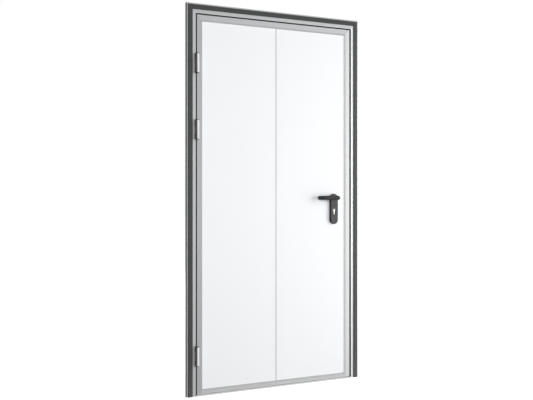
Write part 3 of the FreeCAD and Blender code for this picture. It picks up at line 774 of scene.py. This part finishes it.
@dataclass(frozen=True)
class Screws(SubAssembly):
    """Countersunk screws with a hexagonal socket, modelled once and copied, each with its own mesh.

    Attributes:
        seats: where the screws go.
        head: radius of the head in millimetres.
        socket: radius over the socket's corners in millimetres.
        height: the head's height in millimetres.
        rim_share: width of the rim's chamfer as a share of the head's radius.
        socket_depth: how deep the socket is, in millimetres.
        softening: width of the rounding on the edges, in millimetres.
        FLATS: how many flats the socket has.
        RING_POINTS: how many points the head's circle has, four for each flat.
        NEAR_AXIS: how far the middle face's centre may be from the axis, in millimetres.
        SLACK: how far past the socket's radius its points are looked for, in millimetres.
    """

    seats: tuple[Seat, ...]
    head: float
    socket: float
    height: float = 1.6
    rim_share: float = 0.12
    socket_depth: float = 1.1
    softening: float = 0.09

    FLATS = 6
    RING_POINTS = 24
    NEAR_AXIS = 0.1
    SLACK = 0.05

    def _pattern(self) -> bpy.types.Object:
        """Models one screw, which faces +Z with its outer face's middle at the origin.

        Returns:
            The pattern.
        """
        rim = self.rim_share * self.head * MM
        middle = faces_towards(Facing.UP, within=self.NEAR_AXIS * MM)
        down = {"value": (0.0, 0.0, -self.socket_depth * MM)}
        piece = Workpiece.disc("screw_pattern", self.head * MM, self.height * MM, self.RING_POINTS)
        piece.inset(faces_towards(Facing.UP), rim)
        piece.inset(middle, (self.head - self.socket) * MM - rim)
        self._make_hexagon(piece.shape)
        piece.edit(middle, lambda: bpy.ops.mesh.extrude_region_move(TRANSFORM_OT_translate=down))
        return piece.soften(self.softening * MM).finished()

    def _make_hexagon(self, shape: bpy.types.Object) -> None:
        """Draws the socket's ring of points in to the flats of a hexagon.

        Each flat keeps its two corners, and its middle point and the two beside that move in.

        Args:
            shape: the screw.
        """
        step = 360.0 / self.RING_POINTS
        per_flat = self.RING_POINTS // self.FLATS
        middle = math.cos(math.radians(180.0 / self.FLATS))
        beside = middle / math.cos(math.radians(step))
        bpy.ops.object.mode_set(mode="EDIT")
        bpy.ops.mesh.select_mode(type="VERT")
        for spots, factor in (((1, 3), beside), ((2,), middle)):
            bpy.ops.mesh.select_all(action="DESELECT")
            mesh = bmesh.from_edit_mesh(shape.data)
            for point in mesh.verts:
                reach = math.hypot(point.co.x, point.co.y)
                spot = round(math.degrees(math.atan2(point.co.y, point.co.x)) / step) % per_flat
                on_ring = point.co.z > -self.NEAR_AXIS * MM and reach < (self.socket + self.SLACK) * MM
                point.select_set(on_ring and spot in spots)
            bmesh.update_edit_mesh(shape.data)
            bpy.ops.transform.resize(value=(factor, factor, 1.0), center_override=(0.0, 0.0, 0.0))
        bpy.ops.object.mode_set(mode="OBJECT")

    def build(self, wardrobe: Wardrobe) -> list[bpy.types.Object]:
        """Models the screw and puts a copy on each seat.

        Args:
            wardrobe: what dresses the screws.

        Returns:
            The screws.
        """
        pattern = self._pattern()
        screws = []
        for seat in self.seats:
            screw = bpy.data.objects.new(seat.name, pattern.data.copy())
            bpy.context.scene.collection.objects.link(screw)
            screw.data.transform(Matrix.Translation(Vector(seat.place) * MM) @ seat.facing.turn())
            screws.append(wardrobe.fit_out(screw, ZINC_STEEL, seat.body))
        bpy.data.objects.remove(pattern)
        return screws


@dataclass(frozen=True)
class SeamShadeBeads(SubAssembly):
    """Dark beads in the seam between the two panels, front and back: painted shade that darkens the seam's
    groove.

    Attributes:
        width: the seam's width in millimetres, which the bead fills.
        setback: how far the bead lies behind the panels' faces, in millimetres.
        depth: the bead's depth in millimetres.
        lip: width of the bead's edges beside its hollow, in millimetres.
        hollow: how deep the bead's face is hollowed, in millimetres.
    """

    width: float = 2.8
    setback: float = 1.0
    depth: float = 4.0
    lip: float = 0.5
    hollow: float = 0.25

    def _bead(self, name: str, face: float, facing: Facing) -> bpy.types.Object:
        """Makes one bead.

        Args:
            name: its name.
            face: the Y of the panels' face that it lies behind, in metres.
            facing: the way that this face looks.

        Returns:
            The bead.
        """
        low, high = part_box("hinge_side_panel")
        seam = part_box("lock_side_panel")[0].x
        inwards = -facing.value[1]
        outer = face + inwards * self.setback * MM
        inner = outer + inwards * self.depth * MM
        bead = Workpiece.block(name, (seam - self.width / 2 * MM, min(outer, inner), low.z),
                               (seam + self.width / 2 * MM, max(outer, inner), high.z))
        return bead.inset(faces_towards(facing), self.lip * MM, -self.hollow * MM).finished()

    def build(self, wardrobe: Wardrobe) -> list[bpy.types.Object]:
        """Makes both beads.

        Args:
            wardrobe: what dresses them.

        Returns:
            The front bead and the back one.
        """
        low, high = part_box("hinge_side_panel")
        # The beads' black stands in for the shade in the seam's groove: painted shade.
        return [
            wardrobe.fit_out(self._bead("front_seam_bead", low.y, Facing.FRONT), BLACK_RUBBER, Body.LEAF),
            wardrobe.fit_out(self._bead("back_seam_bead", high.y, Facing.BACK), BLACK_RUBBER, Body.LEAF),
        ]


@dataclass(frozen=True)
class LockSideShadeLip(SubAssembly):
    """The black rubber lip that folds over the lock-side casing's inner edge, beside the black gap; partly
    a gasket lip and partly painted shade that widens the gap's dark band.

    Attributes:
        width: the lip's width in millimetres.
        proud: how far it stands in front of the casing, in millimetres.
        margin: width of the step round its face, in millimetres.
        rise: height of that step, in millimetres.
    """

    width: float = 2.2
    proud: float = 0.6
    margin: float = 0.3
    rise: float = 0.1

    def build(self, wardrobe: Wardrobe) -> list[bpy.types.Object]:
        """Makes the lip, from the floor to the head.

        Args:
            wardrobe: what dresses it.

        Returns:
            The lip, alone in a list.
        """
        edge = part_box("lock_side_casing")[0].x
        _, face, under_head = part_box("head_casing")[0]
        # Painted shade in part: the black lip widens the dark band of the gap's shade.
        lip = Workpiece.block("lock_side_lip", (edge, face - self.proud * MM, 0.0),
                              (edge + self.width * MM, face, under_head))
        lip.inset(faces_towards(Facing.FRONT), self.margin * MM, self.rise * MM)
        return [wardrobe.fit_out(lip.finished(), BLACK_RUBBER, Body.FRAME)]


@dataclass(frozen=True)
class FootSweep(SubAssembly):
    """The pale rubber lip under the leaf's front edge, which covers the gap over the threshold; its light
    grey is partly painted light over the shade in that gap.

    Attributes:
        drop: how far the lip hangs under the leaf, in millimetres.
        rooted: how far it reaches up into the leaf, in millimetres.
        thickness: its thickness in millimetres.
        setback: how far it lies behind the leaf's face, in millimetres.
        end_gap: how far it ends inside the leaf's edges, in millimetres.
        margin: width of the taper at its foot, in millimetres.
        taper: height of that taper, in millimetres.
        softening: width of the rounding on its edges, in millimetres.
    """

    drop: float = 4.6
    rooted: float = 1.0
    thickness: float = 3.0
    setback: float = 0.6
    end_gap: float = 2.0
    margin: float = 0.4
    taper: float = 0.3
    softening: float = 0.3

    def build(self, wardrobe: Wardrobe) -> list[bpy.types.Object]:
        """Makes the lip.

        Args:
            wardrobe: what dresses it.

        Returns:
            The lip, alone in a list.
        """
        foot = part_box("bottom_rail")[0]
        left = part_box("hinge_stile")[0].x + self.end_gap * MM
        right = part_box("lock_stile")[1].x - self.end_gap * MM
        front = foot.y + self.setback * MM
        lip = Workpiece.block("foot_sweep", (left, front, foot.z - self.drop * MM),
                              (right, front + self.thickness * MM, foot.z + self.rooted * MM))
        lip.inset(faces_towards(Facing.DOWN), self.margin * MM, self.taper * MM)
        return [wardrobe.fit_out(lip.soften(self.softening * MM).finished(), LIT_PALE_RUBBER, Body.LEAF)]


@dataclass(frozen=True)
class Lamp:
    """A soft rectangular light.

    Attributes:
        name: its name.
        place: where it stands, in metres.
        target: the point that it faces, in metres.
        size: its width and height in metres.
        energy: its power in watts.
    """

    name: str
    place: Corner
    target: Corner
    size: tuple[float, float]
    energy: float

    def build(self) -> None:
        """Makes the light."""
        data = bpy.data.lights.new(self.name, "AREA")
        data.shape = "RECTANGLE"
        data.size, data.size_y = self.size
        data.energy = self.energy
        light = bpy.data.objects.new(self.name, data)
        bpy.context.scene.collection.objects.link(light)
        light.location = self.place
        way = Vector(self.target) - Vector(self.place)
        light.rotation_euler = way.to_track_quat("-Z", "Y").to_euler()


KEY_LAMP = Lamp("Key_light", (4.9, -4.2, 2.5), (0.2, 0.0, 1.3), size=(5.0, 4.8), energy=116.5)
LOW_KEY_LAMP = Lamp("Low_key_light", (3.0, -2.1, 1.05), (0.2, 0.0, 0.58), size=(2.4, 2.04), energy=55.5)
FRONT_LAMP = Lamp("Front_light", (-2.4, -6.3, 1.6), (0.0, 0.0, 0.9), size=(4.0, 3.2), energy=246.0)
BACK_LAMP = Lamp("Back_light", (1.2, 6.4, 4.2), (0.0, 0.0, 1.0), size=(5.0, 3.0), energy=430.0)


@dataclass(frozen=True)
class Studio:
    """The pale floor, the lights and the camera at the photograph's angle.

    Attributes:
        camera_place: the camera in the row frame, in metres.
        camera_yaw: how far it looks to the right of the door's normal, in degrees.
        lens: its focal length in millimetres.
        sensor: its sensor's width in millimetres.
        reach: how far it sees, in metres.
        horizon_rise: how far the horizon lies above the middle of the frame, in pixels.
        image_width: the photograph's width in pixels.
        floor_size: length of the floor's sides in metres.
        floor_drop: how far the floor lies under the door's foot, in metres.
        floor_tone: the floor's own grey.
        floor_roughness: the floor's roughness.
        floor_glow: how bright the floor is where it shows as a backdrop.
        world_strength: the world's light on the object.
        lamps: the lights.
    """

    camera_place: Corner = (-2.6131, -4.4577, 1.0940)
    camera_yaw: float = 29.837
    lens: float = 62.455
    sensor: float = 36.0
    reach: float = 200.0
    horizon_rise: float = 9.84
    image_width: float = 533.0
    floor_size: float = 60.0
    floor_drop: float = 0.0005
    floor_tone: float = 0.50
    floor_roughness: float = 0.9
    floor_glow: float = 0.955
    world_strength: float = 0.12
    lamps: tuple[Lamp, ...] = (KEY_LAMP, LOW_KEY_LAMP, FRONT_LAMP, BACK_LAMP)

    def _camera(self) -> None:
        """Makes the camera and lets the scene look through it."""
        data = bpy.data.cameras.new("Camera")
        data.lens = self.lens
        data.sensor_width = self.sensor
        data.shift_y = -self.horizon_rise / self.image_width
        data.clip_end = self.reach
        camera = bpy.data.objects.new("Camera", data)
        bpy.context.scene.collection.objects.link(camera)
        level = math.radians(90)
        camera.location = self.camera_place
        camera.rotation_euler = (level, 0.0, math.radians(-self.camera_yaw))
        bpy.context.scene.camera = camera

    @staticmethod
    def _backdrop_rays(bench: ShaderBench) -> bpy.types.NodeSocket:
        """Finds the rays that show the backdrop: the camera's, reflected and transmitted ones.

        Args:
            bench: the bench of the world or the floor.

        Returns:
            The socket of a mask that is 1 for these rays and 0 for the others.
        """
        rays = bench.add("ShaderNodeLightPath").outputs
        passed_on = bench.maths("MAXIMUM", rays["Is Glossy Ray"], rays["Is Transmission Ray"])
        return bench.maths("MAXIMUM", rays["Is Camera Ray"], passed_on)

    def _world(self) -> None:
        """Makes a white backdrop for what the camera and reflections see, and a softer light elsewhere."""
        world = bpy.data.worlds.new("Studio")
        bpy.context.scene.world = world
        world.use_nodes = True
        bench = ShaderBench(world.node_tree)
        strength = bench.spread(self._backdrop_rays(bench), self.world_strength, 1.0)
        bench.feed(world.node_tree.nodes["Background"], Color=WHITE, Strength=strength)

    def _floor(self) -> None:
        """Makes the pale floor, which keeps the object's shadow."""
        bpy.ops.mesh.primitive_plane_add(size=self.floor_size, location=(0.0, 0.0, -self.floor_drop))
        floor = bpy.context.object
        floor.name = "Studio_floor"
        material = bpy.data.materials.new("Studio_floor_white")
        material.use_nodes = True
        bench = ShaderBench(material.node_tree)
        glow = bench.spread(self._backdrop_rays(bench), 0.0, self.floor_glow)
        bench.feed(material.node_tree.nodes["Principled BSDF"], Roughness=self.floor_roughness,
                   Base_Color=(self.floor_tone, self.floor_tone, self.floor_tone, 1.0),
                   Specular_IOR_Level=0.0, Emission_Color=WHITE, Emission_Strength=glow)
        floor.data.materials.append(material)

    def build(self) -> None:
        """Sets up the backdrop, the lights and the camera."""
        self._world()
        self._floor()
        for lamp in self.lamps:
            lamp.build()
            LOG.info("lit %s", lamp.name)
        self._camera()


STRIKE_FACE_X = 498.7
FOREND_FACE_X = 490.7
LOCK_MIDDLE_Y = 10.0
PLATE_MIDDLE_X = 381.0
BACK_PLATE_FACE_Y = 46.2
LOCK_SCREWS = Screws(head=4.2, socket=2.1, seats=(
    Seat("strike_screw_top", (STRIKE_FACE_X, LOCK_MIDDLE_Y, 1113.0), Facing.HINGE_SIDE, Body.FRAME),
    Seat("strike_screw_middle", (STRIKE_FACE_X, LOCK_MIDDLE_Y, 1017.5), Facing.HINGE_SIDE, Body.FRAME),
    Seat("strike_screw_bottom", (STRIKE_FACE_X, LOCK_MIDDLE_Y, 915.0), Facing.HINGE_SIDE, Body.FRAME),
    Seat("forend_screw_top", (FOREND_FACE_X, LOCK_MIDDLE_Y, 1121.0), Facing.LOCK_SIDE, Body.LEAF),
    Seat("forend_screw_bottom", (FOREND_FACE_X, LOCK_MIDDLE_Y, 907.0), Facing.LOCK_SIDE, Body.LEAF),
    Seat("cylinder_screw", (FOREND_FACE_X, LOCK_MIDDLE_Y, 948.0), Facing.LOCK_SIDE, Body.LEAF),
    Seat("plate_screw_top", (PLATE_MIDDLE_X, BACK_PLATE_FACE_Y, 1016.0), Facing.BACK, Body.LEAF),
    Seat("plate_screw_bottom", (PLATE_MIDDLE_X, BACK_PLATE_FACE_Y, 914.0), Facing.BACK, Body.LEAF),
))

TREAD_MIDDLE_Y = 20.0
TREAD_TOP_Z = 7.7
THRESHOLD_SCREWS = Screws(head=4.6, socket=2.3, seats=tuple(
    Seat(f"threshold_screw_{count}", (x, TREAD_MIDDLE_Y, TREAD_TOP_Z), Facing.UP, Body.FRAME)
    for count, x in enumerate((-430.0, -145.0, 145.0, 430.0), start=1)))

HINGE_FOOT_X = -495.5
HINGE_FOOT_FACE_Y = -39.9
HINGE_MIDDLES_Z = {"top": 1768.0, "middle": 1416.0, "bottom": 213.0}
HINGE_SCREW_SHIFTS = {"low": -35.0, "high": 35.0}
HINGE_SCREWS = Screws(head=2.2, socket=1.2, seats=tuple(
    Seat(f"{name}_hinge_screw_{side}", (HINGE_FOOT_X, HINGE_FOOT_FACE_Y, z + shift), Facing.FRONT,
         Body.FRAME)
    for name, z in HINGE_MIDDLES_Z.items()
    for side, shift in HINGE_SCREW_SHIFTS.items()))

SUB_ASSEMBLIES: tuple[SubAssembly, ...] = (
    SeamShadeBeads(), LockSideShadeLip(), FootSweep(), LOCK_SCREWS, THRESHOLD_SCREWS, HINGE_SCREWS)


def main() -> None:
    """Dresses the door, adds its small fittings and sets up the studio."""
    logging.basicConfig(level=logging.INFO, format="%(name)s: %(message)s")
    bpy.ops.object.select_all(action="DESELECT")
    wardrobe = Wardrobe()
    wardrobe.dress_cad_nodes()
    for assembly in SUB_ASSEMBLIES:
        for piece in assembly.build(wardrobe):
            LOG.info("made %s", piece.name)
    Studio().build()
    bpy.context.scene.view_settings.view_transform = "Standard"


if __name__ == "__main__":
    main()
